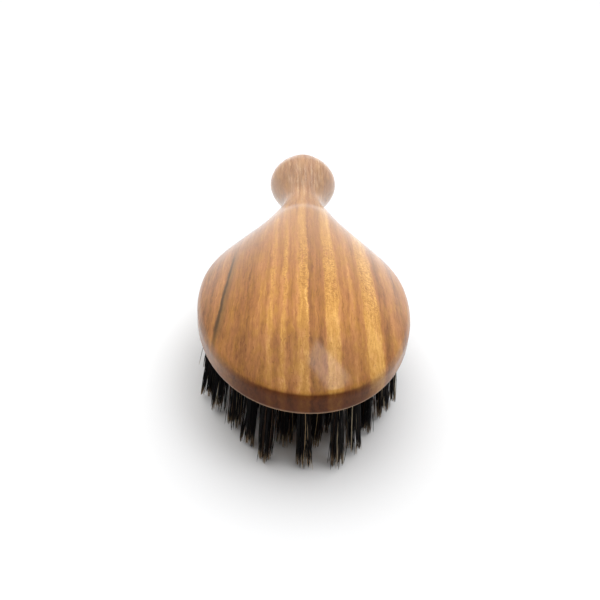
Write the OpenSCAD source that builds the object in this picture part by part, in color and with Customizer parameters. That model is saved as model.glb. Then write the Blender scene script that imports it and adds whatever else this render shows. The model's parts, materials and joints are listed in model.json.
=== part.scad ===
// Handled beard and hair brush. One piece of striped hardwood, gourd-shaped from above,
// carries rows of natural bristle tufts. Each tuft is folded over a flat wire anchor
// and driven into a drilled blind hole, where the anchor's ends bite into the wood.
// Millimetres. +Y runs from the head's front to the knob and +Z points up. The bristle
// tips lie on z = 0, and the origin is midway along the brush.

/* [Outline from above] */
// Length over the head, the neck and the knob
overall_length = 150; // [148:0.5:158]
// Width of the head at its widest place
head_width = 62; // [60:0.5:68]
// Distance from the head's front to its widest place
head_widest = 50; // [47:0.5:53]
// Squareness of the head's front, where 2 is an ellipse
front_squareness = 2.06; // [2:0.02:2.4]
// How full the shoulders are, where a smaller number is fuller
shoulder_fullness = 0.75; // [0.65:0.05:1]
// Distance from the head's front to the slimmest place of the neck
neck_place = 114; // [112:0.5:116]
// Width of the neck at its slimmest place
neck_width = 14.5; // [13:0.5:18]
// Distance from the head's front to the widest place of the knob
knob_place = 135; // [133:0.5:137]
// Width of the knob
knob_width = 27; // [24:0.5:30]

/* [Heights] */
// Thickness of the wood at the middle of the head
crown_height = 16.5; // [15:0.5:20]
// Height of the head's side wall, with its upper rounding
wall_height = 7.4; // [7:0.1:9]
// Radius of the rounding between the side wall and the domed back
upper_round = 3; // [2:0.1:4]
// Radius of the rounding between the side wall and the bristle face
lower_round = 1.6; // [0.8:0.1:2.4]
// Height of the neck's section
neck_height = 13; // [12:0.5:15]
// Height of the neck's centre over the bristle face
neck_level = 7; // [6.5:0.5:8.5]
// Height of the knob
knob_height = 23; // [20:0.5:27]
// Height of the knob's centre over the bristle face
knob_level = 9; // [8:0.5:11]

/* [Bristles] */
// Length of the bristles that stand out of the wood
bristle_length = 20; // [14:0.5:25]
// Distance from the head's front to the first row of tufts
first_row = 7; // [6:0.5:9]
// Distance between the rows
row_pitch = 6; // [5.8:0.1:6]
// Largest distance between the tufts of a row
tuft_pitch = 8.4; // [7.6:0.1:9]
// Smallest distance between the tufts of a row
tuft_pitch_min = 7.5; // [7:0.1:7.6]
// Distance from the outermost tufts to the head's outline
edge_margin = 4.9; // [4.6:0.1:6]
// Lean of a tuft at the outline away from the middle of the head, in degrees
edge_lean = 10; // [0:1:12]
// Diameter of a tuft at its cut end
tuft_tip = 4.8; // [3.4:0.1:5]

/* [Bores and anchors] */
// Diameter of the drilled hole of each tuft
bore_diameter = 3.2; // [2.6:0.1:3.4]
// Depth of the drilled hole
bore_depth = 5.5; // [5:0.1:5.8]
// Room between a tuft and the wall of its hole
tuft_clearance = 0.05; // [0.02:0.01:0.1]
// Length of a wire anchor, across the hole and into the wood on both sides
anchor_length = 4; // [3.8:0.1:4.4]
// Width of the anchor wire, along the hole
anchor_width = 1.8; // [1.2:0.1:2.2]
// Thickness of the anchor wire
anchor_thickness = 0.35; // [0.25:0.05:0.5]
// Thickness of the bristle fold between the anchor and the hole's floor
fold_depth = 0.9; // [0.6:0.1:1.2]

/* [Hidden] */
rows = 15;
bore_sides = 32;

half_head = head_width / 2;
half_neck = neck_width / 2;
half_knob = knob_width / 2;
knob_end = overall_length - knob_place;
// The bristle face starts to round off this far in front of the last row of tufts
round_lead = 3;
face_end = first_row + (rows - 1) * row_pitch - round_lead;

wood_colour = [0.72, 0.48, 0.27];
bristle_colour = [0.09, 0.07, 0.06];
anchor_colour = [0.80, 0.66, 0.36];

function row_node(kind, row) = str(kind, row < 9 ? "_0" : "_", row + 1);

// ---- The wooden body's shape. Here y counts from the head's front and z from the
// bristle face. Every station is a point of the outline, and the body's section there
// runs from the foot on the middle line out to that point.

function clamped(t) = min(max(t, 0), 1);
function smooth(t) = let (c = clamped(t)) c * c * (3 - 2 * c);
function mix(a, b, t) = a + (b - a) * t;

shoulder_lag = 1.08;
throat_lag = 1.05;

function shoulder_curve(t) = pow((1 + cos(180 * pow(t, shoulder_lag))) / 2, shoulder_fullness);
function throat_curve(t) = (1 - cos(180 * pow(t, throat_lag))) / 2;

function half_width(y) =
    y < head_widest
        ? half_head * pow(1 - pow(1 - y / head_widest, front_squareness), 1 / front_squareness)
    : y < neck_place
        ? mix(half_neck, half_head, shoulder_curve((y - head_widest) / (neck_place - head_widest)))
    : y < knob_place
        ? mix(half_neck, half_knob, throat_curve((y - neck_place) / (knob_place - neck_place)))
    : half_knob * sqrt(max(0, 1 - pow((y - knob_place) / knob_end, 2)));

// The feet draw together under the rounded front and under the knob's end
front_foot_reach = 0.5;
knob_foot_reach = 0.2;

function foot(y) =
    y < head_widest
        ? mix(head_widest, y, front_foot_reach)
    : y < knob_place
        ? y
    : mix(knob_place, y, knob_foot_reach);

// Height along the middle line: the head's value, then the neck's, then the knob's
function along(y, head, neck, knob) =
    y < neck_place
        ? mix(head, neck, smooth((y - face_end) / (neck_place - face_end)))
        : mix(neck, knob, smooth((y - neck_place) / (knob_place - neck_place)));

function floor_level(y) =
    along(y, 0, neck_level - neck_height / 2, knob_level - knob_height / 2);
function crown_level(y) =
    along(y, crown_height, neck_level + neck_height / 2, knob_level + knob_height / 2);

// A section's points as [inset from the outline, height], from the bristle face up
lower_steps = 4;
upper_steps = 6;
dome_steps = 7;

function lower_points() = [
    for (i = [0 : lower_steps - 1])
        let (a = 90 * i / (lower_steps - 1))
        [lower_round * (1 - sin(a)), lower_round * (1 - cos(a))]
];

// The upper rounding stops where it meets the slope of the dome
function upper_points(reach, crown) =
    let (rise = max(crown - wall_height, 0.1))
    let (slope = atan(2 * rise / max(reach - upper_round, 0.5)))
    [
        for (i = [0 : upper_steps - 1])
            let (a = (90 - slope) * i / (upper_steps - 1))
            [upper_round * (1 - cos(a)), wall_height - upper_round + upper_round * sin(a)]
    ];

function dome_points(reach, crown, edge) = [
    for (i = [1 : dome_steps - 1])
        let (r = 1 - i / dome_steps)
        [reach - (reach - edge[0]) * r, mix(crown, edge[1], r * r)]
];

function head_section(reach, crown) =
    let (upper = upper_points(reach, crown))
    concat(lower_points(), upper, dome_points(reach, crown, upper[upper_steps - 1]));

// The same points spread round an ellipse, as angles from the floor to the crown
wall_angle = 30;
section_angles = concat(
    [for (i = [1 : lower_steps]) mix(-90, -wall_angle, i / lower_steps)],
    [for (i = [1 : upper_steps]) mix(-wall_angle, wall_angle, i / upper_steps)],
    [for (i = [1 : dome_steps - 1]) mix(wall_angle, 90, i / dome_steps)]
);
section_size = len(section_angles);

// One station's section: the head's form turns into the ellipse towards the neck
function section(y) =
    let (x = half_width(y), start = foot(y), reach = norm([x, y - start]))
    let (low = floor_level(start), high = crown_level(start))
    let (round_part = smooth((y - face_end) / (neck_place - face_end)))
    let (points = head_section(reach, high - low))
    [
        for (i = [0 : section_size - 1])
            let (flat_share = 1 - points[i][0] / reach, flat_level = low + points[i][1])
            let (share = mix(flat_share, cos(section_angles[i]), round_part))
            let (level = mix((high + low) / 2, high, sin(section_angles[i])))
            [x * share, mix(start, y, share), mix(flat_level, level, round_part)]
    ];

front_steps = 14;
shoulder_steps = 15;
throat_steps = 7;
end_steps = 9;

stations = concat(
    [for (i = [0 : front_steps - 1]) head_widest * (1 - cos(90 * i / front_steps))],
    [for (i = [0 : shoulder_steps - 1]) mix(head_widest, neck_place, i / shoulder_steps)],
    [for (i = [0 : throat_steps - 1]) mix(neck_place, knob_place, i / throat_steps)],
    [for (i = [0 : end_steps]) knob_place + knob_end * sin(90 * i / end_steps)]
);
last = len(stations) - 1;
ring_size = 2 * last;

half_sections = [for (y = stations) section(y)];

// A ring runs back along the right side and forward along the left side
function station_of(k) = k <= last ? k : ring_size - k;
function side_of(k) = k <= last ? 1 : -1;

ring_points = [
    for (i = [0 : section_size - 1], k = [0 : ring_size - 1])
        let (p = half_sections[station_of(k)][i])
        [side_of(k) * p[0], p[1], p[2]]
];
floor_line = [for (y = stations) [0, foot(y), floor_level(foot(y))]];
crown_line = [for (y = stations) [0, foot(y), crown_level(foot(y))]];
floor_start = len(ring_points);
crown_start = floor_start + last + 1;

function ring_index(i, k) = i * ring_size + (k % ring_size);

wall_faces = [
    for (i = [0 : section_size - 2], k = [0 : ring_size - 1])
        let (a = ring_index(i, k), b = ring_index(i, k + 1))
        let (c = ring_index(i + 1, k + 1), d = ring_index(i + 1, k))
        for (face = [[a, c, b], [a, d, c]]) face
];

// Joins a ring to the middle line above or below it. Where a four-sided patch starts at
// the front or the back point, its diagonal changes so that no triangle is edge-on.
function cap_faces(ring, line_start) = [
    for (k = [0 : ring_size - 1])
        let (a = ring_index(ring, k), b = ring_index(ring, k + 1))
        let (c = line_start + station_of((k + 1) % ring_size), d = line_start + station_of(k))
        for (face = k % last == 0 ? [[a, d, b], [b, d, c]] : [[a, c, b], [a, d, c]]) face
];
function reversed(faces) = [for (f = faces) [f[0], f[2], f[1]]];

body_points = concat(ring_points, floor_line, crown_line);
body_faces = concat(
    wall_faces,
    cap_faces(section_size - 1, crown_start),
    reversed(cap_faces(0, floor_start))
);

// ---- The tufts' places

function row_y(row) = first_row + row * row_pitch;
function row_room(row) = half_width(row_y(row)) - edge_margin;

// The most tufts that fit, odd and even by turns so that the rows are staggered
function tufts_in(row) =
    let (most = floor(2 * row_room(row) / tuft_pitch_min) + 1)
    most - (most + row + 1) % 2;
function row_spacing(row) = min(tuft_pitch, 2 * row_room(row) / (tufts_in(row) - 1));

// Puts children at a hole's mouth, with +Z into the wood and the tuft along -Z
module at_tuft(row, column) {
    x = (column - (tufts_in(row) - 1) / 2) * row_spacing(row);
    y = row_y(row);
    from_middle = [x / half_head, (y - head_widest) / head_widest];
    lean = edge_lean * clamped(norm(from_middle) * norm(from_middle));
    heading = atan2(from_middle[1], from_middle[0]);
    translate([x, y - overall_length / 2, bristle_length])
        rotate([0, -lean, heading])
            rotate([0, 0, -heading])
                children();
}

module each_tuft(row) {
    for (column = [0 : tufts_in(row) - 1])
        at_tuft(row, column) children();
}

// ---- Pieces

mouth_overrun = 1;
tip_overrun = 2;

module anchor_bar(low, high) {
    translate([-anchor_length / 2, -anchor_thickness / 2, low])
        cube([anchor_length, anchor_thickness, high - low]);
}

module wire_anchor() {
    anchor_bar(bore_depth - fold_depth - anchor_width, bore_depth - fold_depth);
}

// The drilled hole and the groove that the anchor cuts on its way in
module tuft_hole() {
    translate([0, 0, -mouth_overrun])
        cylinder(h = bore_depth + mouth_overrun, d = bore_diameter, $fn = bore_sides);
    anchor_bar(-mouth_overrun, bore_depth - fold_depth);
}

module tuft() {
    root = bore_diameter - 2 * tuft_clearance;
    reach = bristle_length + tip_overrun;
    tip = root + (tuft_tip - root) * reach / bristle_length;
    difference() {
        union() {
            cylinder(h = bore_depth - tuft_clearance, d = root, $fn = bore_sides);
            translate([0, 0, -reach])
                cylinder(h = reach, d1 = tip, d2 = root, $fn = bore_sides);
        }
        wire_anchor();
    }
}

// All that lies below the plane of the trimmed bristle tips
module below_the_tips() {
    size = overall_length + head_width;
    translate([-size / 2, -size / 2, -size])
        cube(size);
}

module body() {
    color(wood_colour)
        difference() {
            translate([0, -overall_length / 2, bristle_length])
                polyhedron(points = body_points, faces = body_faces, convexity = 8);
            for (row = [0 : rows - 1])
                each_tuft(row) tuft_hole();
        }
}

module tuft_row(row) {
    color(bristle_colour)
        difference() {
            each_tuft(row) tuft();
            below_the_tips();
        }
}

module anchor_row(row) {
    color(anchor_colour)
        each_tuft(row) wire_anchor();
}

body();
for (row = [0 : rows - 1]) {
    tuft_row(row);
    anchor_row(row);
}
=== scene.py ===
"""Looks of a handled beard brush: a striped hardwood body and tufts of natural bristle.

Everything is in metres, in the frame's axes: +Y runs from the head's front to the knob, +Z
is up, and the bristle tips lie on z = 0. Sizes are written in millimetres times MM.
"""

import json
import math
from contextlib import contextmanager
from types import SimpleNamespace

import bmesh
import bpy
import numpy as np
from mathutils import Matrix, Vector

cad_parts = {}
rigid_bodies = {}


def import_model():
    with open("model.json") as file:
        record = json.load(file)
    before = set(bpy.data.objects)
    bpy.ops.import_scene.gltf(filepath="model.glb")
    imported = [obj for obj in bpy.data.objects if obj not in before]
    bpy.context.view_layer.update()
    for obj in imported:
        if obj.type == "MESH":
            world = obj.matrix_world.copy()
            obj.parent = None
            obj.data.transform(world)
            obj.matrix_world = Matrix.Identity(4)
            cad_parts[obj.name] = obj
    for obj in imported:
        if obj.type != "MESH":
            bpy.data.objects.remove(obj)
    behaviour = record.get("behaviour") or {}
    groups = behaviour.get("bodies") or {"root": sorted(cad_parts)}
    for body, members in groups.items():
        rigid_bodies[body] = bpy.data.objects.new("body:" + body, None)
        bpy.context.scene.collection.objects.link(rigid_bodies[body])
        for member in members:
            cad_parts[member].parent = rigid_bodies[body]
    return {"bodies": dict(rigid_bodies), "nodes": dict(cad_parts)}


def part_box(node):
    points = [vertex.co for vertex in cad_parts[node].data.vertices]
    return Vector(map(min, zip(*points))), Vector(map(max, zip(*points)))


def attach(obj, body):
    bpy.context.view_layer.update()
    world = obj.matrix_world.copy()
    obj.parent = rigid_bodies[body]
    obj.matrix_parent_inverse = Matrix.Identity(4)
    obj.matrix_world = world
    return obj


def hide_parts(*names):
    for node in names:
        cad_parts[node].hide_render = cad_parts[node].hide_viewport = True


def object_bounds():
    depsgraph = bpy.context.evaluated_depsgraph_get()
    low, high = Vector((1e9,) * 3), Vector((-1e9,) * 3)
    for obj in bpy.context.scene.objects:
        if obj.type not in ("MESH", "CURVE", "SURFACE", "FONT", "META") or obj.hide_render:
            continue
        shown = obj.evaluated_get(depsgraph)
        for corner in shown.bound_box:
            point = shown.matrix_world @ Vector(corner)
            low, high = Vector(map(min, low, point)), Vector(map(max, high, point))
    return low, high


MM = 0.001

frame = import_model()
cad_low, cad_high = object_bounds()
ROOT = next(iter(frame["bodies"]))
TUFT_ROWS = sorted(n for n in frame["nodes"] if n.startswith("tuft_row"))
ANCHOR_ROWS = sorted(n for n in frame["nodes"] if n.startswith("anchor_row"))

# ---- Sizes. The length and the head's width come from the frame, the rest is the design's.

body_low, body_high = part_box("body")
FRONT_Y = body_low.y
LENGTH = body_high.y - body_low.y
HALF_HEAD = (body_high.x - body_low.x) / 2

FACE_Z = 20 * MM
HEAD_WIDEST = 50 * MM
FRONT_SQUARENESS = 2.06
SHOULDER_FULLNESS = 0.75
SHOULDER_LAG = 1.08
THROAT_LAG = 1.05
NECK_PLACE = 114 * MM
HALF_NECK = 7.25 * MM
KNOB_PLACE = 135 * MM
HALF_KNOB = 13.5 * MM
KNOB_END = LENGTH - KNOB_PLACE
FACE_END = 88 * MM
FRONT_FOOT_REACH = 0.5
KNOB_FOOT_REACH = 0.2

CROWN_HEIGHT = 16.5 * MM
WALL_HEIGHT = 7.4 * MM
UPPER_ROUND = 3 * MM
LOWER_ROUND = 1.6 * MM
NECK_HEIGHT = 13 * MM
NECK_LEVEL = 7 * MM
KNOB_HEIGHT = 23 * MM
KNOB_LEVEL = 9 * MM

BORE_RADIUS = 1.6 * MM
BORE_DEPTH = 5.5 * MM
ANCHOR_LENGTH = 4 * MM
ANCHOR_THICKNESS = 0.35 * MM
ANCHOR_DEPTH = 3.7 * MM
ANCHOR_FLOOR = 4.6 * MM

# Mesh fineness: stations along the body, steps round its section and sides of a bore
FRONT_STATIONS = 60
SHOULDER_STATIONS = 64
THROAT_STATIONS = 30
KNOB_STATIONS = 36
LOWER_STEPS = 10
WALL_STEPS = 4
UPPER_STEPS = 16
DOME_STEPS = 40
BORE_SIDES = 36
BODY_SHARP_ANGLE = 40
HAIR_SHARP_ANGLE = 70

# Angles round the neck's oval that the stretches of the head's section turn into
FACE_EDGE_ANGLE = -75
WALL_FOOT_ANGLE = -30
WALL_TOP_ANGLE = -20
DOME_EDGE_ANGLE = 30
CROWN_ANGLE = 90

# The smallest rise and run that the dome's slope is worked out from
LEAST_RISE = 0.1 * MM
LEAST_RUN = 0.5 * MM

# Points this close are one point, in the frame's solids and in the body after its cuts
WELD = 0.001 * MM
SLIVER = 0.003 * MM

# How far outside the mouth of its hole a cutter starts
CUT_OVERRUN = 1 * MM


# ---- Meshes


def new_object(name, points, faces):
    mesh = bpy.data.meshes.new(name)
    mesh.from_pydata([tuple(p) for p in points], [], [tuple(f) for f in faces])
    mesh.update()
    obj = bpy.data.objects.new(name, mesh)
    bpy.context.scene.collection.objects.link(obj)
    return obj


def shade(obj, sharp_angle):
    mesh = obj.data
    mesh.polygons.foreach_set("use_smooth", [True] * len(mesh.polygons))
    mesh.set_sharp_from_angle(angle=math.radians(sharp_angle))
    mesh.update()


@contextmanager
def opened(obj):
    """The object's mesh as a bmesh, which is written back afterwards."""
    bm = bmesh.new()
    bm.from_mesh(obj.data)
    yield bm
    bm.to_mesh(obj.data)
    bm.free()


# ---- The wooden body. y counts from the head's front and z from the bristle face.


def smooth(t):
    t = np.clip(t, 0, 1)
    return t * t * (3 - 2 * t)


def mix(a, b, t):
    return a + (b - a) * t


def half_width(y):
    """Half the body's width at each y: egg-shaped front, shoulders, throat and knob."""
    y = np.asarray(y, float)
    front = 1 - np.clip(1 - y / HEAD_WIDEST, 0, 1) ** FRONT_SQUARENESS
    head = HALF_HEAD * front ** (1 / FRONT_SQUARENESS)
    t = np.clip((y - HEAD_WIDEST) / (NECK_PLACE - HEAD_WIDEST), 0, 1)
    slope = ((1 + np.cos(math.pi * t**SHOULDER_LAG)) / 2) ** SHOULDER_FULLNESS
    shoulder = mix(HALF_NECK, HALF_HEAD, slope)
    t = np.clip((y - NECK_PLACE) / (KNOB_PLACE - NECK_PLACE), 0, 1)
    throat = mix(HALF_NECK, HALF_KNOB, (1 - np.cos(math.pi * t**THROAT_LAG)) / 2)
    t = np.clip((y - KNOB_PLACE) / KNOB_END, 0, 1)
    knob = HALF_KNOB * np.sqrt(1 - t * t)
    places = [y < HEAD_WIDEST, y < NECK_PLACE, y < KNOB_PLACE]
    return np.select(places, [head, shoulder, throat], knob)


def foot(y):
    """Where each station's section starts on the middle line."""
    front = mix(HEAD_WIDEST, y, FRONT_FOOT_REACH)
    knob = mix(KNOB_PLACE, y, KNOB_FOOT_REACH)
    return np.select([y < HEAD_WIDEST, y < KNOB_PLACE], [front, y], knob)


def along(y, head, neck, knob):
    """A height along the middle line: the head's value, then the neck's, then the knob's."""
    to_neck = mix(head, neck, smooth((y - FACE_END) / (NECK_PLACE - FACE_END)))
    to_knob = mix(neck, knob, smooth((y - NECK_PLACE) / (KNOB_PLACE - NECK_PLACE)))
    return np.where(y < NECK_PLACE, to_neck, to_knob)


def steps(count):
    return np.linspace(0, 1, count, endpoint=False)


def body_stations():
    """Places along the body, closest together at its two ends."""
    front = np.linspace(0, math.pi / 2, FRONT_STATIONS, endpoint=False)
    end = np.linspace(0, math.pi / 2, KNOB_STATIONS)
    return np.concatenate(
        [
            HEAD_WIDEST * (1 - np.cos(front)),
            np.linspace(HEAD_WIDEST, NECK_PLACE, SHOULDER_STATIONS, endpoint=False),
            np.linspace(NECK_PLACE, KNOB_PLACE, THROAT_STATIONS, endpoint=False),
            KNOB_PLACE + KNOB_END * np.sin(end),
        ]
    )


def head_sections(reach, height):
    """The head's section, from the face's edge over the side wall and up to the crown.

    Each step is its inset from the outline, its height above the face, and its angle round
    the neck's oval.
    """
    rise = np.maximum(height - WALL_HEIGHT, LEAST_RISE)
    slope = np.arctan(2 * rise / np.maximum(reach - UPPER_ROUND, LEAST_RUN))
    wall_top = WALL_HEIGHT - UPPER_ROUND
    sections = []
    for t in steps(LOWER_STEPS):
        turn = t * math.pi / 2
        inset = LOWER_ROUND * (1 - math.sin(turn))
        level = LOWER_ROUND * (1 - math.cos(turn))
        sections.append((inset, level, mix(FACE_EDGE_ANGLE, WALL_FOOT_ANGLE, t)))
    for t in steps(WALL_STEPS):
        level = mix(LOWER_ROUND, wall_top, t)
        sections.append((0.0, level, mix(WALL_FOOT_ANGLE, WALL_TOP_ANGLE, t)))
    for t in steps(UPPER_STEPS):
        turn = t * (math.pi / 2 - slope)
        inset = UPPER_ROUND * (1 - np.cos(turn))
        level = wall_top + UPPER_ROUND * np.sin(turn)
        sections.append((inset, level, mix(WALL_TOP_ANGLE, DOME_EDGE_ANGLE, t)))
    edge_inset = UPPER_ROUND * (1 - np.sin(slope))
    edge_level = wall_top + UPPER_ROUND * np.cos(slope)
    for t in steps(DOME_STEPS):
        inset = reach - (reach - edge_inset) * (1 - t)
        level = mix(height, edge_level, (1 - t) ** 2)
        sections.append((inset, level, mix(DOME_EDGE_ANGLE, CROWN_ANGLE, t)))
    return sections


def body_rings():
    """The half body as an array of rings, stations and x, y, z, with both middle lines."""
    y = body_stations()
    x, start = half_width(y), foot(y)
    reach = np.hypot(x, y - start)
    low = along(start, 0.0, NECK_LEVEL - NECK_HEIGHT / 2, KNOB_LEVEL - KNOB_HEIGHT / 2)
    high = along(
        start, CROWN_HEIGHT, NECK_LEVEL + NECK_HEIGHT / 2, KNOB_LEVEL + KNOB_HEIGHT / 2
    )
    round_part = smooth((y - FACE_END) / (NECK_PLACE - FACE_END))

    rings = []
    for inset, level, angle in head_sections(reach, high - low):
        turn = math.radians(angle)
        share = mix(1 - inset / reach, math.cos(turn), round_part)
        oval_level = mix((high + low) / 2, high, math.sin(turn))
        z = mix(low + level, oval_level, round_part)
        rings.append(np.stack([x * share, mix(start, y, share), z], 1))
    zero = np.zeros_like(start)
    floor_line = np.stack([zero, start, low], 1)
    crown_line = np.stack([zero, start, high], 1)
    return np.array(rings), floor_line, crown_line


def body_mesh():
    """The body's closed surface. A ring runs back on the right and forward on the left."""
    rings, floor_line, crown_line = body_rings()
    ring_count, stations, _ = rings.shape
    last = stations - 1
    size = 2 * last
    order = np.array([k if k <= last else size - k for k in range(size)])
    side = np.array([1.0 if k <= last else -1.0 for k in range(size)])
    loops = rings[:, order, :].copy()
    loops[:, :, 0] *= side
    points = np.concatenate([loops.reshape(-1, 3), floor_line, crown_line])
    points += np.array([0, FRONT_Y, FACE_Z])
    floor_start = ring_count * size
    crown_start = floor_start + stations

    faces = []
    for i in range(ring_count - 1):
        low, high = i * size, (i + 1) * size
        for k in range(size):
            n = (k + 1) % size
            faces.append((low + k, low + n, high + n, high + k))
    for k in range(size):
        n = (k + 1) % size
        top = (ring_count - 1) * size
        faces.append((top + k, top + n, crown_start + order[n], crown_start + order[k]))
        faces.append((n, k, floor_start + order[k], floor_start + order[n]))
    return new_object("wooden_body", points, faces)


# ---- Places of the tufts, read from the wire anchors of the frame


def islands(obj):
    """Arrays of the points of each separate solid in a mesh object."""
    grid = {}
    names = []
    for v in obj.data.vertices:
        key = tuple(round(c / WELD) for c in v.co)
        names.append(grid.setdefault(key, len(grid)))
    parent = list(range(len(grid)))

    def top(i):
        while parent[i] != i:
            parent[i] = parent[parent[i]]
            i = parent[i]
        return i

    for e in obj.data.edges:
        a, b = top(names[e.vertices[0]]), top(names[e.vertices[1]])
        parent[a] = b
    groups = {}
    for key, i in grid.items():
        groups.setdefault(top(i), []).append([c * WELD for c in key])
    return [np.array(g) for g in groups.values()]


def tuft_places(anchor_node):
    """Each tuft's hole mouth, the way its bristles point and its two cross directions."""
    places = []
    for corners in islands(frame["nodes"][anchor_node]):
        middle = corners.mean(0)
        _, _, axes = np.linalg.svd(corners - middle)
        across, outward = axes[0], axes[1]
        across = across * math.copysign(1, across[0])
        outward = outward * -math.copysign(1, outward[2])
        places.append(
            {
                "mouth": middle + outward * ANCHOR_DEPTH,
                "out": outward,
                "across": across,
                "side": np.cross(outward, across),
            }
        )
    return sorted(places, key=lambda p: p["mouth"][0])


ROWS = [tuft_places(name) for name in ANCHOR_ROWS]


def hole_cutter(places, outline, depth):
    """Prisms of the outline, one at each place, from outside the mouth into the wood."""
    points, faces = [], []
    for place in places:
        first = len(points)
        for travel in (CUT_OVERRUN, -depth):
            for u, v in outline:
                sideways = place["across"] * u + place["side"] * v
                points.append(place["mouth"] + place["out"] * travel + sideways)
        n = len(outline)
        faces.append([first + i for i in range(n)])
        faces.append([first + n + i for i in reversed(range(n))])
        for i in range(n):
            j = (i + 1) % n
            faces.append([first + j, first + i, first + n + i, first + n + j])
    cutter = new_object("cutter", points, faces)
    with opened(cutter) as bm:
        bmesh.ops.recalc_face_normals(bm, faces=bm.faces)
    return cutter


def cut(obj, cutter):
    """Takes the cutter's solids out of the mesh for good."""
    modifier = obj.modifiers.new("cut", "BOOLEAN")
    modifier.operation = "DIFFERENCE"
    modifier.solver = "MANIFOLD"
    modifier.object = cutter
    graph = bpy.context.evaluated_depsgraph_get()
    done = bpy.data.meshes.new_from_object(obj.evaluated_get(graph))
    obj.modifiers.clear()
    old = obj.data
    obj.data = done
    bpy.data.meshes.remove(old)
    bpy.data.objects.remove(cutter)


def make_body():
    """The body with a bore for each tuft and a slot for each wire anchor."""
    body = body_mesh()
    places = [p for row in ROWS for p in row]
    turns = np.linspace(0, 2 * math.pi, BORE_SIDES, endpoint=False)
    circle = [(BORE_RADIUS * math.cos(t), BORE_RADIUS * math.sin(t)) for t in turns]
    cut(body, hole_cutter(places, circle, BORE_DEPTH))
    u, v = ANCHOR_LENGTH / 2, ANCHOR_THICKNESS / 2
    slot = [(u, v), (-u, v), (-u, -v), (u, -v)]
    cut(body, hole_cutter(places, slot, ANCHOR_FLOOR))
    with opened(body) as bm:
        bmesh.ops.remove_doubles(bm, verts=bm.verts, dist=SLIVER)
    body.data.materials.clear()
    shade(body, BODY_SHARP_ANGLE)
    return body


# ---- Bristles

HAIRS = 82
HAIR_SIDES = 5
HAIR_RADIUS = 0.125 * MM
HAIR_THICKNESSES = (0.75, 1.15)
HAIR_STATIONS = (-1.0, 0.0, 0.18, 0.4, 0.62, 0.82, 0.94, 1.0)
HAIR_TAPER = (1.0, 1.0, 0.98, 0.94, 0.86, 0.74, 0.6, 0.3)
HAIR_ROOT_DEPTH = 4.4 * MM

GOLDEN_TURN = math.pi * (3 - math.sqrt(5))
TURN_SCATTER = 0.12
ROOT_SPREAD = 1.38 * MM
TIP_SPREAD = 2.2 * MM
TIP_SPREADS = (0.9, 1.1)
TIP_SCATTER = 0.17 * MM
SPLAY_POWER = 1.25
LOCKS = 8
LOCK_PULL = 0.55
TUFT_LEAN = 0.45 * MM
BOW_SCATTER = 0.22 * MM
OUTWARD_BOW = 0.25 * MM
STRAY_SHARE = 0.07
STRAY_SCATTER = 0.8 * MM
STRAY_LIMIT = 1.4 * MM

# Inside the bore the hairs fold round their wire
WIRE_CLEARANCE = 0.3 * MM
FOLD_ALONG_WIRE = 0.8
FOLD_FROM_WIRE = 0.75

# How high the tips end, and how much shorter single hairs and whole locks are
TIP_LEVEL = 0.25 * MM
HAIR_SHORTNESS = 0.55 * MM
LOCK_SHORTNESS = 0.8 * MM
MOST_SHORTNESS = 5 * MM
LEAST_LEVEL = 0.02 * MM

# A hair's lot, from 0 to 1, makes it blond below the first value and brown below the second
BLOND_BELOW = 0.07
BROWN_BELOW = 0.15
BLOND_LIGHTS = (0.5, 1.0)
BROWN_LIGHTS = (0.15, 0.4)
BLACK_LIGHTS = (0.0, 0.1)
PALE_TIP_SHARE = 0.45
PALE_TIPS = (0.3, 1.0)


def hair_ends(rng):
    """Where each hair leaves the wood and where it ends, across the tuft, and its lock.

    The roots fill a disc of radius 1. The tips are gathered into locks, with a few strays,
    and the tuft leans a little as a whole.
    """
    n = HAIRS
    i = np.arange(n)
    radius = np.sqrt((i + 0.5) / n)
    turn = i * GOLDEN_TURN + rng.normal(0, TURN_SCATTER, n)
    root = radius[:, None] * np.stack([np.cos(turn), np.sin(turn)], 1)
    spread = TIP_SPREAD * rng.uniform(*TIP_SPREADS)
    locks = root[rng.choice(n, LOCKS, replace=False)]
    lock = np.linalg.norm(root[:, None] - locks[None], axis=2).argmin(1)
    gathered = mix(root, locks[lock], LOCK_PULL)
    tip = gathered * spread + rng.normal(0, TIP_SCATTER, (n, 2))
    stray = rng.random(n) < STRAY_SHARE
    wander = np.clip(rng.normal(0, STRAY_SCATTER, (n, 2)), -STRAY_LIMIT, STRAY_LIMIT)
    tip += stray[:, None] * wander
    tip += rng.normal(0, TUFT_LEAN, 2)
    return root, tip, lock


def hair_colours(rng):
    """How light each hair is and how pale its tip is, both from 0 to 1."""
    n = HAIRS
    lot = rng.random(n)
    blond, black = rng.uniform(*BLOND_LIGHTS, n), rng.uniform(*BLACK_LIGHTS, n)
    light = np.where(lot < BLOND_BELOW, blond, black)
    is_brown = (lot >= BLOND_BELOW) & (lot < BROWN_BELOW)
    light = np.where(is_brown, rng.uniform(*BROWN_LIGHTS, n), light)
    pale_tip = np.where(rng.random(n) < PALE_TIP_SHARE, rng.uniform(*PALE_TIPS, n), 0.0)
    return light, pale_tip


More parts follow.
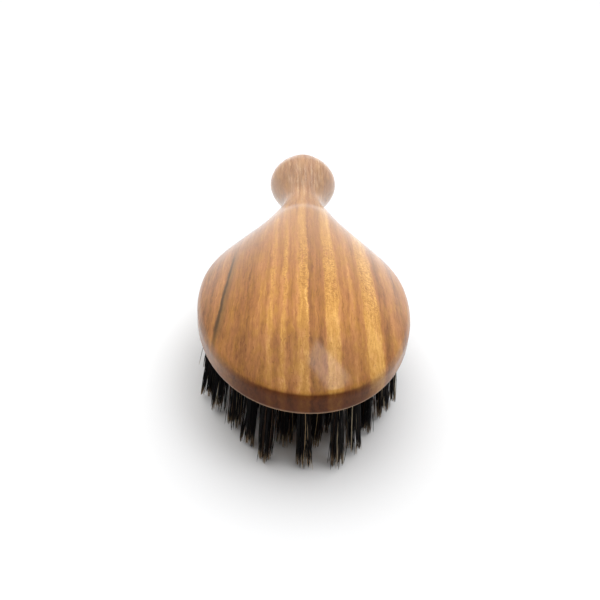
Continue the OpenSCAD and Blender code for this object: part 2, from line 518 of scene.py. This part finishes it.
def make_hairs(rng, place):
    """One tuft's hairs: their rings of points, how light each is and how pale its tip."""
    n = HAIRS
    root, tip, lock = hair_ends(rng)
    bow = rng.normal(0, BOW_SCATTER, (n, 2)) + root * OUTWARD_BOW
    mouth = root * ROOT_SPREAD
    wire_side = np.where(mouth[:, 1] < 0, -1.0, 1.0)
    fold = mouth * FOLD_ALONG_WIRE
    fold[:, 1] = wire_side * (WIRE_CLEARANCE + FOLD_FROM_WIRE * np.abs(fold[:, 1]))

    short = rng.exponential(HAIR_SHORTNESS, n) + rng.exponential(LOCK_SHORTNESS, LOCKS)[lock]
    level = TIP_LEVEL + np.minimum(short, MOST_SHORTNESS)
    out, across, side = place["out"], place["across"], place["side"]
    length = (place["mouth"][2] - level) / -out[2]

    t = np.array(HAIR_STATIONS)
    s = np.clip(t, 0, 1)[None, :, None]
    offset = mouth[:, None] + (tip - mouth)[:, None] * s**SPLAY_POWER
    offset = offset + bow[:, None] * np.sin(math.pi * s)
    offset[:, 0] = fold
    travel = np.maximum(t, 0)[None, :] * length[:, None]
    travel[:, 0] = -HAIR_ROOT_DEPTH
    line = place["mouth"] + travel[..., None] * out
    line = line + offset[..., :1] * across + offset[..., 1:] * side

    thick = HAIR_RADIUS * rng.uniform(*HAIR_THICKNESSES, n)
    around = np.linspace(0, 2 * math.pi, HAIR_SIDES, endpoint=False)
    ring = np.cos(around)[:, None] * across + np.sin(around)[:, None] * side
    size = thick[:, None] * np.array(HAIR_TAPER)
    points = line[:, :, None, :] + ring * size[..., None, None]
    points[..., 2] = np.maximum(points[..., 2], LEAST_LEVEL)
    return points, *hair_colours(rng)


def tube_faces(count, stations, sides):
    """The side faces and the two end caps of a number of tubes that follow one another."""
    start = np.arange(count)[:, None] * stations * sides
    quads = []
    for a in range(stations - 1):
        low, high = a * sides, (a + 1) * sides
        for k in range(sides):
            n = (k + 1) % sides
            quads.append([low + k, low + n, high + n, high + k])
    quads = (start[:, :, None] + np.array(quads)[None]).reshape(-1, 4)
    root_cap = np.arange(sides)[::-1]
    tip_cap = (stations - 1) * sides + np.arange(sides)
    caps = np.concatenate([start + root_cap[None], start + tip_cap[None]])
    return [*quads.tolist(), *caps.tolist()]


def bristle_row(row_name, places, seed):
    """A row of tufts. Its point attributes tell the material about each hair."""
    rng = np.random.default_rng(seed)
    tufts = [make_hairs(rng, place) for place in places]
    points, light, pale_tip = (np.concatenate(parts) for parts in zip(*tufts))
    row = new_object(row_name, points.reshape(-1, 3), tube_faces(*points.shape[:3]))

    run = np.clip(HAIR_STATIONS, 0, 1)
    for name, values in (
        ("hair_light", light[:, None, None]),
        ("hair_pale_tip", pale_tip[:, None, None]),
        ("hair_run", run[None, :, None]),
    ):
        values = np.broadcast_to(values, points.shape[:3])
        layer = row.data.attributes.new(name, "FLOAT", "POINT")
        layer.data.foreach_set("value", values.astype(np.float32).ravel())
    shade(row, HAIR_SHARP_ANGLE)
    return row


# ---- Materials


class Graph:
    """A few short ways to build a node tree."""

    def __init__(self, tree):
        self.tree = tree
        tree.nodes.clear()

    def add(self, kind, inputs=None, **settings):
        node = self.tree.nodes.new(kind)
        for name, value in settings.items():
            setattr(node, name, value)
        for name, value in (inputs or {}).items():
            self.put(node.inputs[name], value)
        return node

    def put(self, socket, value):
        if isinstance(value, bpy.types.NodeSocket):
            self.tree.links.new(value, socket)
        else:
            socket.default_value = value

    def math(self, operation, a, b=0.0, c=0.0):
        node = self.add("ShaderNodeMath", operation=operation)
        for socket, value in zip(node.inputs, (a, b, c)):
            self.put(socket, value)
        return node.outputs[0]

    def product(self, value, *others):
        for other in others:
            value = self.math("MULTIPLY", value, other)
        return value

    def remap(self, value, from_low, from_high, to_low=0.0, to_high=1.0, soft=False):
        kind = "SMOOTHSTEP" if soft else "LINEAR"
        node = self.add("ShaderNodeMapRange", interpolation_type=kind)
        for i, v in enumerate((value, from_low, from_high, to_low, to_high)):
            self.put(node.inputs[i], v)
        return node.outputs[0]

    def vector(self, x, y, z):
        return self.add("ShaderNodeCombineXYZ", {0: x, 1: y, 2: z}).outputs[0]

    def scaled(self, vector, scale):
        node = self.add("ShaderNodeVectorMath", {0: vector, 1: scale}, operation="MULTIPLY")
        return node.outputs[0]

    def noise(self, vector, scale, detail=2.0, roughness=0.5, distortion=0.0):
        """Noise from about -1 to 1. scale is in features per millimetre along x, y, z."""
        node = self.add(
            "ShaderNodeTexNoise",
            {
                "Vector": self.scaled(vector, scale),
                "Scale": 1.0,
                "Detail": detail,
                "Roughness": roughness,
                "Distortion": distortion,
            },
        )
        return self.math("MULTIPLY_ADD", node.outputs[0], 2.0, -1.0)

    def blend(self, amount, a, b, mode="MIX"):
        node = self.add("ShaderNodeMix", data_type="RGBA", blend_type=mode)
        self.put(node.inputs[0], amount)
        self.put(node.inputs[6], a)
        self.put(node.inputs[7], b)
        return node.outputs[2]

    def ramp(self, value, stops):
        node = self.add("ShaderNodeValToRGB", {0: value})
        elements = node.color_ramp.elements
        while len(elements) < len(stops):
            elements.new(0.5)
        for element, (place, colour) in zip(elements, stops):
            element.position = place
            element.color = colour
        return node.outputs[0]


def srgb(*colour):
    """A colour as read from a screen, 0 to 255, as linear light."""

    def linear(c):
        c = c / 255
        return c / 12.92 if c <= 0.04045 else ((c + 0.055) / 1.055) ** 2.4

    return (*(linear(c) for c in colour), 1.0)


def new_material(name):
    material = bpy.data.materials.new(name)
    material.use_nodes = True
    return material, Graph(material.node_tree)


def finish_material(graph, shader):
    graph.add("ShaderNodeOutputMaterial", {"Surface": shader.outputs[0]})


# ---- Wood. Its places are in millimetres: x across the brush, y along it from its middle
# and z up from the bristle tips.

# The growth layers across the block: the distance from the middle, and how light the wood
# is there, from 0, the darkest, to 1, the palest gold.
GRAIN_LAYERS = [
    (-31, 0.30),
    (-27, 0.18),
    (-25, 0.24),
    (-23.6, 0.46),
    (-22.2, 0.24),
    (-19.5, 0.36),
    (-16.6, 0.30),
    (-14.5, 0.36),
    (-12.2, 0.48),
    (-10.8, 0.44),
    (-9.2, 0.80),
    (-7.6, 0.42),
    (-5.8, 0.84),
    (-4.4, 0.46),
    (-2.6, 0.58),
    (-1.5, 0.86),
    (0.3, 0.88),
    (0.8, 0.30),
    (1.5, 0.38),
    (2.4, 0.46),
    (3.4, 0.38),
    (4.8, 0.52),
    (5.7, 0.96),
    (7.7, 0.96),
    (8.8, 0.52),
    (10.6, 0.44),
    (12.2, 0.64),
    (13.8, 0.44),
    (15.0, 0.58),
    (15.9, 0.94),
    (17.6, 1.02),
    (19.4, 0.88),
    (20.9, 0.30),
    (22.2, 0.40),
    (24.2, 0.60),
    (26.4, 0.24),
    (29, 0.40),
    (31, 0.36),
]
GRAIN_SPAN = 64.0
GOLD_TONES = (0.66, 0.9)

# The layers lean over by this much per millimetre of height, about this level
LAYER_LEAN = 0.06
LEAN_LEVEL = 30.0

WOOD_GOLD = [
    (0.0, srgb(90, 54, 20)),
    (0.3, srgb(144, 96, 43)),
    (0.5, srgb(169, 117, 53)),
    (0.75, srgb(195, 141, 68)),
    (1.0, srgb(226, 175, 96)),
]
WOOD_ROSE = [
    (0.0, srgb(92, 52, 27)),
    (0.3, srgb(144, 93, 51)),
    (0.5, srgb(169, 112, 63)),
    (0.75, srgb(195, 136, 78)),
    (1.0, srgb(226, 171, 109)),
]


def grain_curve(graph, value):
    """The growth layers' lightness, as a curve through GRAIN_LAYERS."""
    node = graph.add("ShaderNodeFloatCurve", {"Value": value})
    curve = node.mapping.curves[0]
    places = [(0.5 + x / GRAIN_SPAN, tone) for x, tone in GRAIN_LAYERS]
    curve.points[0].location = (0.0, places[0][1])
    curve.points[1].location = (1.0, places[-1][1])
    for x, tone in places:
        curve.points.new(x, tone)
    for point in curve.points:
        point.handle_type = "AUTO_CLAMPED"
    node.mapping.update()
    return node.outputs[0]


# Stretches along the brush, from y to y, over which something comes in or fades
EVENED = (0.0, 50.0)
BOLD_LINES = (0.0, 45.0)
HANDLED = (-50.0, 20.0)
WORN = (6.0, 50.0)

# The curly figure is strongest about this place
FIGURE_MIDDLE = -30.0
FIGURE_REACH = (8.0, 30.0)

# The mineral streak lies on the left of the head, and tapers towards the knob
MINERAL_MIDDLE = -36.0
MINERAL_START = (-62.0, -50.0)
MINERAL_END = (-24.0, -6.0)
MINERAL_OFFSET = -22.5
MINERAL_SLANT = 0.04
MINERAL_TAPER = (-60.0, -26.0)
MINERAL_HALF_WIDTHS = (0.75, 0.45)

# Levels over the face within which a painted reflection lines its edge
EDGE_REFLECTION_LEVELS = (FACE_Z / MM + 0.3, FACE_Z / MM + 1.5)

MINERAL_OLIVE = srgb(116, 90, 50)
MINERAL_DARK = srgb(58, 42, 22)
PORE_DARK = srgb(96, 52, 26)
HANDLED_PALE = srgb(194, 164, 143)
STREAK_DARK = srgb(150, 106, 76)
STREAK_PALE = srgb(228, 198, 168)
# The colour of the painted reflection along the edge round the bristle face
EDGE_REFLECTION_PALE = srgb(214, 182, 150)
# Multiplies the colour for real end grain and for painted shade on the walls that face front
# or back
END_GRAIN_AND_SHADE_TINT = (0.24, 0.15, 0.09, 1.0)


def wood_places(g):
    """Where a point is in the block, which way it faces, and how worn it is there."""
    coordinates = g.add("ShaderNodeTexCoord")
    mm = g.scaled(coordinates.outputs["Object"], (1 / MM, 1 / MM, 1 / MM))
    x, y, z = g.add("ShaderNodeSeparateXYZ", {0: mm}).outputs
    facing = g.add("ShaderNodeSeparateXYZ", {0: coordinates.outputs["Normal"]}).outputs

    # The layers stand nearly upright in the block, wander along it and have ragged edges
    lean = g.math("MULTIPLY_ADD", g.math("SUBTRACT", z, LEAN_LEVEL), LAYER_LEAN, x)
    wander = g.noise(mm, (0.03, 0.022, 0.03), detail=1.0)
    quiver = g.noise(mm, (0.3, 0.1, 0.3), detail=2.0)
    ragged = g.noise(mm, (1.1, 0.45, 1.1), detail=3.0, roughness=0.6)
    across = g.math("MULTIPLY_ADD", wander, 0.8, lean)
    across = g.math("MULTIPLY_ADD", quiver, 0.5, across)
    across = g.math("MULTIPLY_ADD", ragged, 0.55, across)
    return SimpleNamespace(
        mm=mm,
        x=x,
        y=y,
        z=z,
        facing=facing,
        quiver=quiver,
        across=across,
        grain=g.vector(across, y, z),
        worn=g.remap(y, *WORN, soft=True),
    )


def wood_patterns(g, at):
    """Noises that more than one step of the wood uses."""
    return SimpleNamespace(
        threads=g.noise(at.grain, (4.0, 0.12, 1.2), detail=2.0),
        clouds=g.noise(at.mm, (0.32, 0.14, 0.32), detail=3.0, roughness=0.6),
        flecks=g.noise(at.mm, (1.0, 0.38, 1.0), detail=3.0, roughness=0.65),
    )


def timber(g, at, patterns):
    """The bare timber's colour: growth layers, fine grain and curly figure."""
    layer = grain_curve(g, g.math("MULTIPLY_ADD", at.across, 1 / GRAIN_SPAN, 0.5))
    gold = g.remap(layer, *GOLD_TONES, soft=True)
    broad = g.noise(at.grain, (0.3, 0.01, 0.2), detail=2.0)
    lines = g.noise(at.grain, (1.1, 0.03, 0.35), detail=4.0, roughness=0.65)

    # Towards the knob the layers even out and the fine lines grow bolder
    evened = g.remap(at.y, *EVENED, 0.7, 0.22, soft=True)
    tone = g.math("MULTIPLY_ADD", g.math("SUBTRACT", layer, 0.5), evened, 0.5)
    bold = g.remap(at.y, *BOLD_LINES, 0.34, 0.66, soft=True)
    for pattern, amount in (
        (broad, 0.14),
        (lines, bold),
        (patterns.threads, 0.24),
        (patterns.clouds, 0.07),
        (patterns.flecks, 0.11),
    ):
        tone = g.math("MULTIPLY_ADD", pattern, amount, tone)

    # Curly figure on the golden layers
    curl = g.noise(at.mm, (0.8, 0.75, 0.8), detail=1.0, distortion=1.0)
    curl_line = g.remap(g.math("ABSOLUTE", curl), 0.0, 0.2, 1.0, 0.0, soft=True)
    from_middle = g.math("ABSOLUTE", g.math("SUBTRACT", at.y, FIGURE_MIDDLE))
    curl_patch = g.remap(from_middle, *FIGURE_REACH, 1.0, 0.15, soft=True)
    tone = g.math("MULTIPLY_ADD", g.product(curl_line, gold, curl_patch), -0.3, tone)

    # Rose and gold timber mixed, rosier in the dark layers
    rosy = g.noise(at.mm, (0.55, 0.12, 0.55), detail=3.0, roughness=0.6)
    rose = g.remap(g.math("MULTIPLY_ADD", gold, -0.35, rosy), -0.45, 0.3, soft=True)
    return g.blend(rose, g.ramp(tone, WOOD_GOLD), g.ramp(tone, WOOD_ROSE))


def with_mineral_streak(g, at, patterns, colour):
    """Adds a dark streak with a soft olive edge on its inner side."""
    from_middle = g.math("SUBTRACT", at.y, MINERAL_MIDDLE)
    centre = g.math("MULTIPLY_ADD", from_middle, MINERAL_SLANT, MINERAL_OFFSET)
    offset = g.math("SUBTRACT", g.math("MULTIPLY_ADD", at.quiver, 0.4, at.x), centre)
    start = g.remap(at.y, *MINERAL_START, soft=True)
    end = g.remap(at.y, *MINERAL_END, 1.0, 0.0, soft=True)
    extent = g.math("MULTIPLY", start, end)

    inner_side = g.remap(offset, -0.8, 0.2, soft=True)
    fading = g.remap(offset, 0.4, 2.6, 1.0, 0.0, soft=True)
    halo = g.math("MULTIPLY", inner_side, fading)
    colour = g.blend(g.product(halo, extent, 0.5), colour, MINERAL_OLIVE)

    reach = g.remap(at.y, *MINERAL_TAPER, *MINERAL_HALF_WIDTHS)
    core = g.math("DIVIDE", g.math("ABSOLUTE", offset), reach)
    core = g.math("MULTIPLY_ADD", patterns.flecks, 0.5, core)
    core = g.remap(core, 0.1, 1.3, 1.0, 0.0, soft=True)
    return g.blend(g.product(core, extent, 0.85), colour, MINERAL_DARK)


def with_handling(g, at, colour):
    """Rubs the neck and knob pale, with fine streaks that are fainter at the sides."""
    reached = g.remap(at.y, *HANDLED, 0.0, 0.36, soft=True)
    handled = g.math("MULTIPLY_ADD", at.worn, 0.16, reached)
    colour = g.blend(handled, colour, HANDLED_PALE)
    streaks = g.noise(at.grain, (1.6, 0.02, 0.25), detail=2.0, roughness=0.6)
    sideways = g.math("ABSOLUTE", at.facing[0])
    crisp = g.math("MULTIPLY", at.worn, g.remap(sideways, 0.35, 0.85, 1.0, 0.3, soft=True))
    dark = g.math("MULTIPLY", crisp, g.remap(streaks, -0.05, 0.4, 0.0, 0.5, soft=True))
    colour = g.blend(dark, colour, STREAK_DARK)
    pale = g.math("MULTIPLY", crisp, g.remap(streaks, 0.0, -0.4, 0.0, 0.42, soft=True))
    return g.blend(pale, colour, STREAK_PALE)


def end_grain_and_shade_share(g, at, upright):
    """How much the surface cuts across the grain and how much painted shade it takes: the
    walls that face front or back most, the dome's front slope a little. This is partly the
    real darkness of end grain and mostly painted shade on the head's front wall.
    """
    slant = g.math("ABSOLUTE", at.facing[1])
    wall = g.math("MULTIPLY", upright, g.remap(slant, 0.42, 0.9, soft=True))
    share = g.remap(slant, 0.03, 0.5, 0.0, 0.28, soft=True)
    share = g.math("MULTIPLY_ADD", wall, 0.76, share)
    return g.math("MULTIPLY", share, g.remap(at.worn, 0.0, 1.0, 1.0, 0.35))


def with_painted_edge_reflection(g, at, colour):
    """Paints a pale reflection along the downward-facing edge round the bristle face."""
    near_face = g.remap(at.z, *EDGE_REFLECTION_LEVELS, 1.0, 0.0, soft=True)
    off_face = g.remap(at.facing[2], -0.97, -0.75, soft=True)
    return g.blend(g.product(near_face, off_face, 0.5), colour, EDGE_REFLECTION_PALE)


def wood_material():
    """Striped hardwood under a clear coat."""
    material, g = new_material("striped_hardwood")
    at = wood_places(g)
    patterns = wood_patterns(g, at)
    colour = timber(g, at, patterns)
    colour = with_mineral_streak(g, at, patterns, colour)

    # Pores: short dark dashes along the grain
    pore = g.remap(g.noise(at.grain, (2.8, 0.6, 2.8), detail=1.0), 0.3, 0.55, soft=True)
    colour = g.blend(g.math("MULTIPLY", pore, 0.35), colour, PORE_DARK)
    colour = with_handling(g, at, colour)

    # End grain drinks more oil: it is darker and takes less shine. Most of the darkening is
    # painted shade on the walls that face front or back and on the dome's front slope.
    upright = g.remap(at.facing[2], 0.4, 0.68, 1.0, 0.0, soft=True)
    end_grain_and_shade = end_grain_and_shade_share(g, at, upright)
    colour = g.blend(end_grain_and_shade, colour, END_GRAIN_AND_SHADE_TINT, "MULTIPLY")
    gloss = g.remap(end_grain_and_shade, 0.3, 0.9, 0.9, 0.4)
    dull_side = g.math("MULTIPLY", upright, g.remap(at.worn, 0.0, 1.0, 1.0, 0.0))
    # Painted reflection: a pale line along the lower edge round the bristle face
    colour = with_painted_edge_reflection(g, at, colour)

    relief = g.math("MULTIPLY_ADD", pore, -0.5, g.math("MULTIPLY", patterns.threads, 0.25))
    bump = g.add("ShaderNodeBump", {"Strength": 0.12, "Distance": 0.05 * MM, "Height": relief})
    shader = g.add(
        "ShaderNodeBsdfPrincipled",
        {
            "Base Color": colour,
            "Roughness": g.remap(patterns.clouds, -1.0, 1.0, 0.42, 0.52),
            "Specular IOR Level": 0.15,
            "Normal": bump.outputs[0],
            "Coat Weight": g.math("MULTIPLY_ADD", dull_side, -0.35, gloss),
            "Coat Roughness": 0.15,
            "Coat IOR": 1.48,
        },
    )
    finish_material(g, shader)
    return material


# ---- Bristle, wire and floor

HAIR_TONES = [
    (0.0, srgb(5, 3, 4)),
    (0.12, srgb(11, 8, 8)),
    (0.4, srgb(72, 50, 34)),
    (0.7, srgb(150, 128, 98)),
    (1.0, srgb(212, 198, 170)),
]
TIP_PALE = srgb(196, 168, 134)
WIRE_TONES = [(0.0, srgb(176, 138, 74)), (1.0, srgb(222, 190, 118))]
FLOOR_GREY = (0.7, 0.7, 0.7, 1.0)


def bristle_material():
    """Black, brown and blond hairs, some of them pale at the tip."""
    material, g = new_material("boar_bristle")
    light, pale_tip, run = (
        g.add("ShaderNodeAttribute", attribute_name=name).outputs["Fac"]
        for name in ("hair_light", "hair_pale_tip", "hair_run")
    )
    at_tip = g.remap(run, 0.8, 1.0, soft=True)
    colour = g.blend(g.product(at_tip, pale_tip, 0.85), g.ramp(light, HAIR_TONES), TIP_PALE)
    shader = g.add(
        "ShaderNodeBsdfPrincipled",
        {"Base Color": colour, "Roughness": 0.42, "Specular IOR Level": 0.08},
    )
    finish_material(g, shader)
    return material


def wire_material():
    """Flat brass wire with drawing marks along it."""
    material, g = new_material("anchor_wire")
    place = g.add("ShaderNodeTexCoord").outputs["Object"]
    mm = g.scaled(place, (1 / MM, 1 / MM, 1 / MM))
    drawn = g.noise(mm, (0.6, 6.0, 6.0), detail=2.0)
    shader = g.add(
        "ShaderNodeBsdfPrincipled",
        {
            "Base Color": g.ramp(g.remap(drawn, -1.0, 1.0), WIRE_TONES),
            "Metallic": 1.0,
            "Roughness": g.remap(drawn, -1.0, 1.0, 0.26, 0.4),
        },
    )
    finish_material(g, shader)
    return material


def floor_material():
    material, g = new_material("studio_floor")
    shader = g.add(
        "ShaderNodeBsdfPrincipled",
        {"Base Color": FLOOR_GREY, "Roughness": 0.9, "Specular IOR Level": 0.1},
    )
    finish_material(g, shader)
    return material


# ---- Camera, floor and lights

CAMERA_LENS = 36.0
SENSOR_WIDTH = 36.0
NEAREST_SEEN = 10 * MM
CAMERA_DISTANCE = 185.8 * MM
CAMERA_AZIMUTH = -2.12
CAMERA_ELEVATION = 29.99
CAMERA_ROLL = 3.89
AIM_FROM_FRONT = 53.9 * MM
AIM_SIDEWAYS = -0.9 * MM

FLOOR_HALF = 6.0
BACKDROP_SIDES = 64
BACKDROP_RADIUS = 5.5
BACKDROP_LEVELS = (-0.1, 5.0)

SUN_STRENGTH = 4.4
SUN_ANGLE = 100
SUN_TILT = -18
PANEL_COLOUR = (0.9, 0.94, 1.0)
PANEL_SIZE = (0.38, 0.5)
PANEL_POWER = 1.5
PANEL_PLACE = (0.33, -0.18, 0.84)
SKY_COLOUR = (1.0, 0.995, 0.99, 1.0)


def make_camera():
    """Looks down along the brush from in front of its head, rolled a little."""
    azimuth, elevation, roll = (
        math.radians(a) for a in (CAMERA_AZIMUTH, CAMERA_ELEVATION, CAMERA_ROLL)
    )
    aim = Vector((AIM_SIDEWAYS, FRONT_Y + AIM_FROM_FRONT, FACE_Z))
    back = Vector(
        (
            math.sin(azimuth) * math.cos(elevation),
            -math.cos(azimuth) * math.cos(elevation),
            math.sin(elevation),
        )
    )
    right = (-back).cross(Vector((0, 0, 1))).normalized()
    up = right.cross(-back)
    rolled_right = right * math.cos(roll) + up * math.sin(roll)
    rolled_up = up * math.cos(roll) - right * math.sin(roll)
    turn = Matrix((rolled_right, rolled_up, back)).transposed().to_4x4()
    data = bpy.data.cameras.new("camera")
    data.lens = CAMERA_LENS
    data.sensor_width = SENSOR_WIDTH
    data.clip_start = NEAREST_SEEN
    camera = bpy.data.objects.new("camera", data)
    camera.matrix_world = Matrix.Translation(aim + back * CAMERA_DISTANCE) @ turn
    bpy.context.scene.collection.objects.link(camera)
    bpy.context.scene.camera = camera


def make_floor():
    half, z = FLOOR_HALF, cad_low.z
    corners = [(-half, -half, z), (half, -half, z), (half, half, z), (-half, half, z)]
    floor = new_object("floor", corners, [(0, 1, 2, 3)])
    floor.data.materials.append(floor_material())


def make_backdrop():
    """A white wall far round the scene. Only the camera sees it, so it lights nothing."""
    sides, radius = BACKDROP_SIDES, BACKDROP_RADIUS
    turns = [2 * math.pi * i / sides for i in range(sides)]
    points = [
        (radius * math.cos(t), radius * math.sin(t), z) for z in BACKDROP_LEVELS for t in turns
    ]
    faces = [(i, (i + 1) % sides, sides + (i + 1) % sides, sides + i) for i in range(sides)]
    wall = new_object("backdrop", points, faces)
    material, g = new_material("backdrop_white")
    finish_material(g, g.add("ShaderNodeEmission", {"Strength": 1.0}))
    wall.data.materials.append(material)
    wall.visible_diffuse = False
    wall.visible_glossy = False
    wall.visible_transmission = False
    wall.visible_shadow = False


def make_lights():
    """Soft daylight from above, in white surroundings that are dim overhead and in front."""
    sun = bpy.data.lights.new("key", "SUN")
    sun.energy = SUN_STRENGTH
    sun.angle = math.radians(SUN_ANGLE)
    key = bpy.data.objects.new("key", sun)
    key.rotation_euler = (math.radians(SUN_TILT), 0, 0)
    key.visible_glossy = False
    bpy.context.scene.collection.objects.link(key)

    panel = bpy.data.lights.new("ceiling_panel", "AREA")
    panel.color = PANEL_COLOUR
    panel.shape = "RECTANGLE"
    panel.size, panel.size_y = PANEL_SIZE
    panel.energy = PANEL_POWER
    lamp = bpy.data.objects.new("ceiling_panel", panel)
    lamp.location = PANEL_PLACE
    lamp.rotation_euler = Vector(PANEL_PLACE).to_track_quat("Z", "Y").to_euler()
    bpy.context.scene.collection.objects.link(lamp)

    world = bpy.data.worlds.new("studio")
    world.use_nodes = True
    bpy.context.scene.world = world
    g = Graph(world.node_tree)
    direction = g.add("ShaderNodeTexCoord").outputs["Generated"]
    _, y, z = g.add("ShaderNodeSeparateXYZ", {0: direction}).outputs
    behind = g.remap(y, -0.6, 0.5, 0.4, 1.0, soft=True)
    horizon = g.remap(z, 0.0, 0.5, 1.0, 0.18, soft=True)
    glow = g.math("MULTIPLY", behind, horizon)
    sky = g.add("ShaderNodeBackground", {"Color": SKY_COLOUR, "Strength": glow})
    g.add("ShaderNodeOutputWorld", {"Surface": sky.outputs[0]})


# ---- The scene

make_camera()
make_floor()
make_backdrop()
make_lights()
bpy.context.scene.view_settings.view_transform = "Standard"

wood = wood_material()
bristle = bristle_material()
wire = wire_material()

body = make_body()
body.data.materials.append(wood)
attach(body, ROOT)
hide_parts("body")

for number, (tuft_node, places) in enumerate(zip(TUFT_ROWS, ROWS), start=1):
    row = bristle_row(f"bristles_row_{number:02d}", places, seed=number)
    row.data.materials.append(bristle)
    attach(row, ROOT)
    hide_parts(tuft_node)

for anchor_node in ANCHOR_ROWS:
    for slot in frame["nodes"][anchor_node].material_slots:
        slot.material = wire
